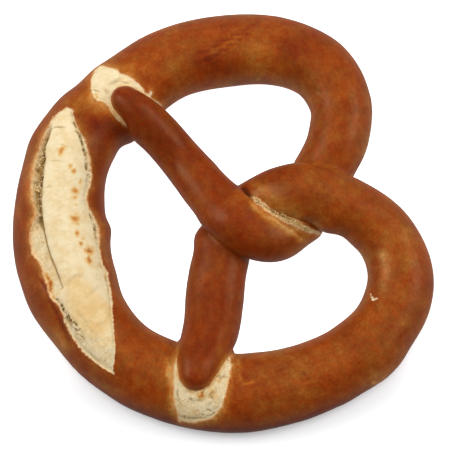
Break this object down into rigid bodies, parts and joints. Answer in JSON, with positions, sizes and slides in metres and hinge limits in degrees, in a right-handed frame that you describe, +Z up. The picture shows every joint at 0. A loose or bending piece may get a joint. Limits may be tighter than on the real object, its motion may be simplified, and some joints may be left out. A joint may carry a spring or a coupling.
{
  "type": "soft pretzel",
  "caption": "Soft lye pretzel with a split pale belly, crossed arms and a glossy brown crust, lying flat.",
  "frame": {"origin": "middle of the footprint's bounding box, on the flat underside", "axes": "+Z up from the table, +Y from the split belly towards the two loops, +X to the second loop"},
  "size_m": [0.1572, 0.1476, 0.0273],
  "materials": {
    "crust": "satin red-brown lye crust, orange brown where it is thin",
    "crumb": "matte cream crumb, lightly toasted"
  },
  "bodies": {
    "root": {"pretzel": "crust"}
  },
  "joints": []
}
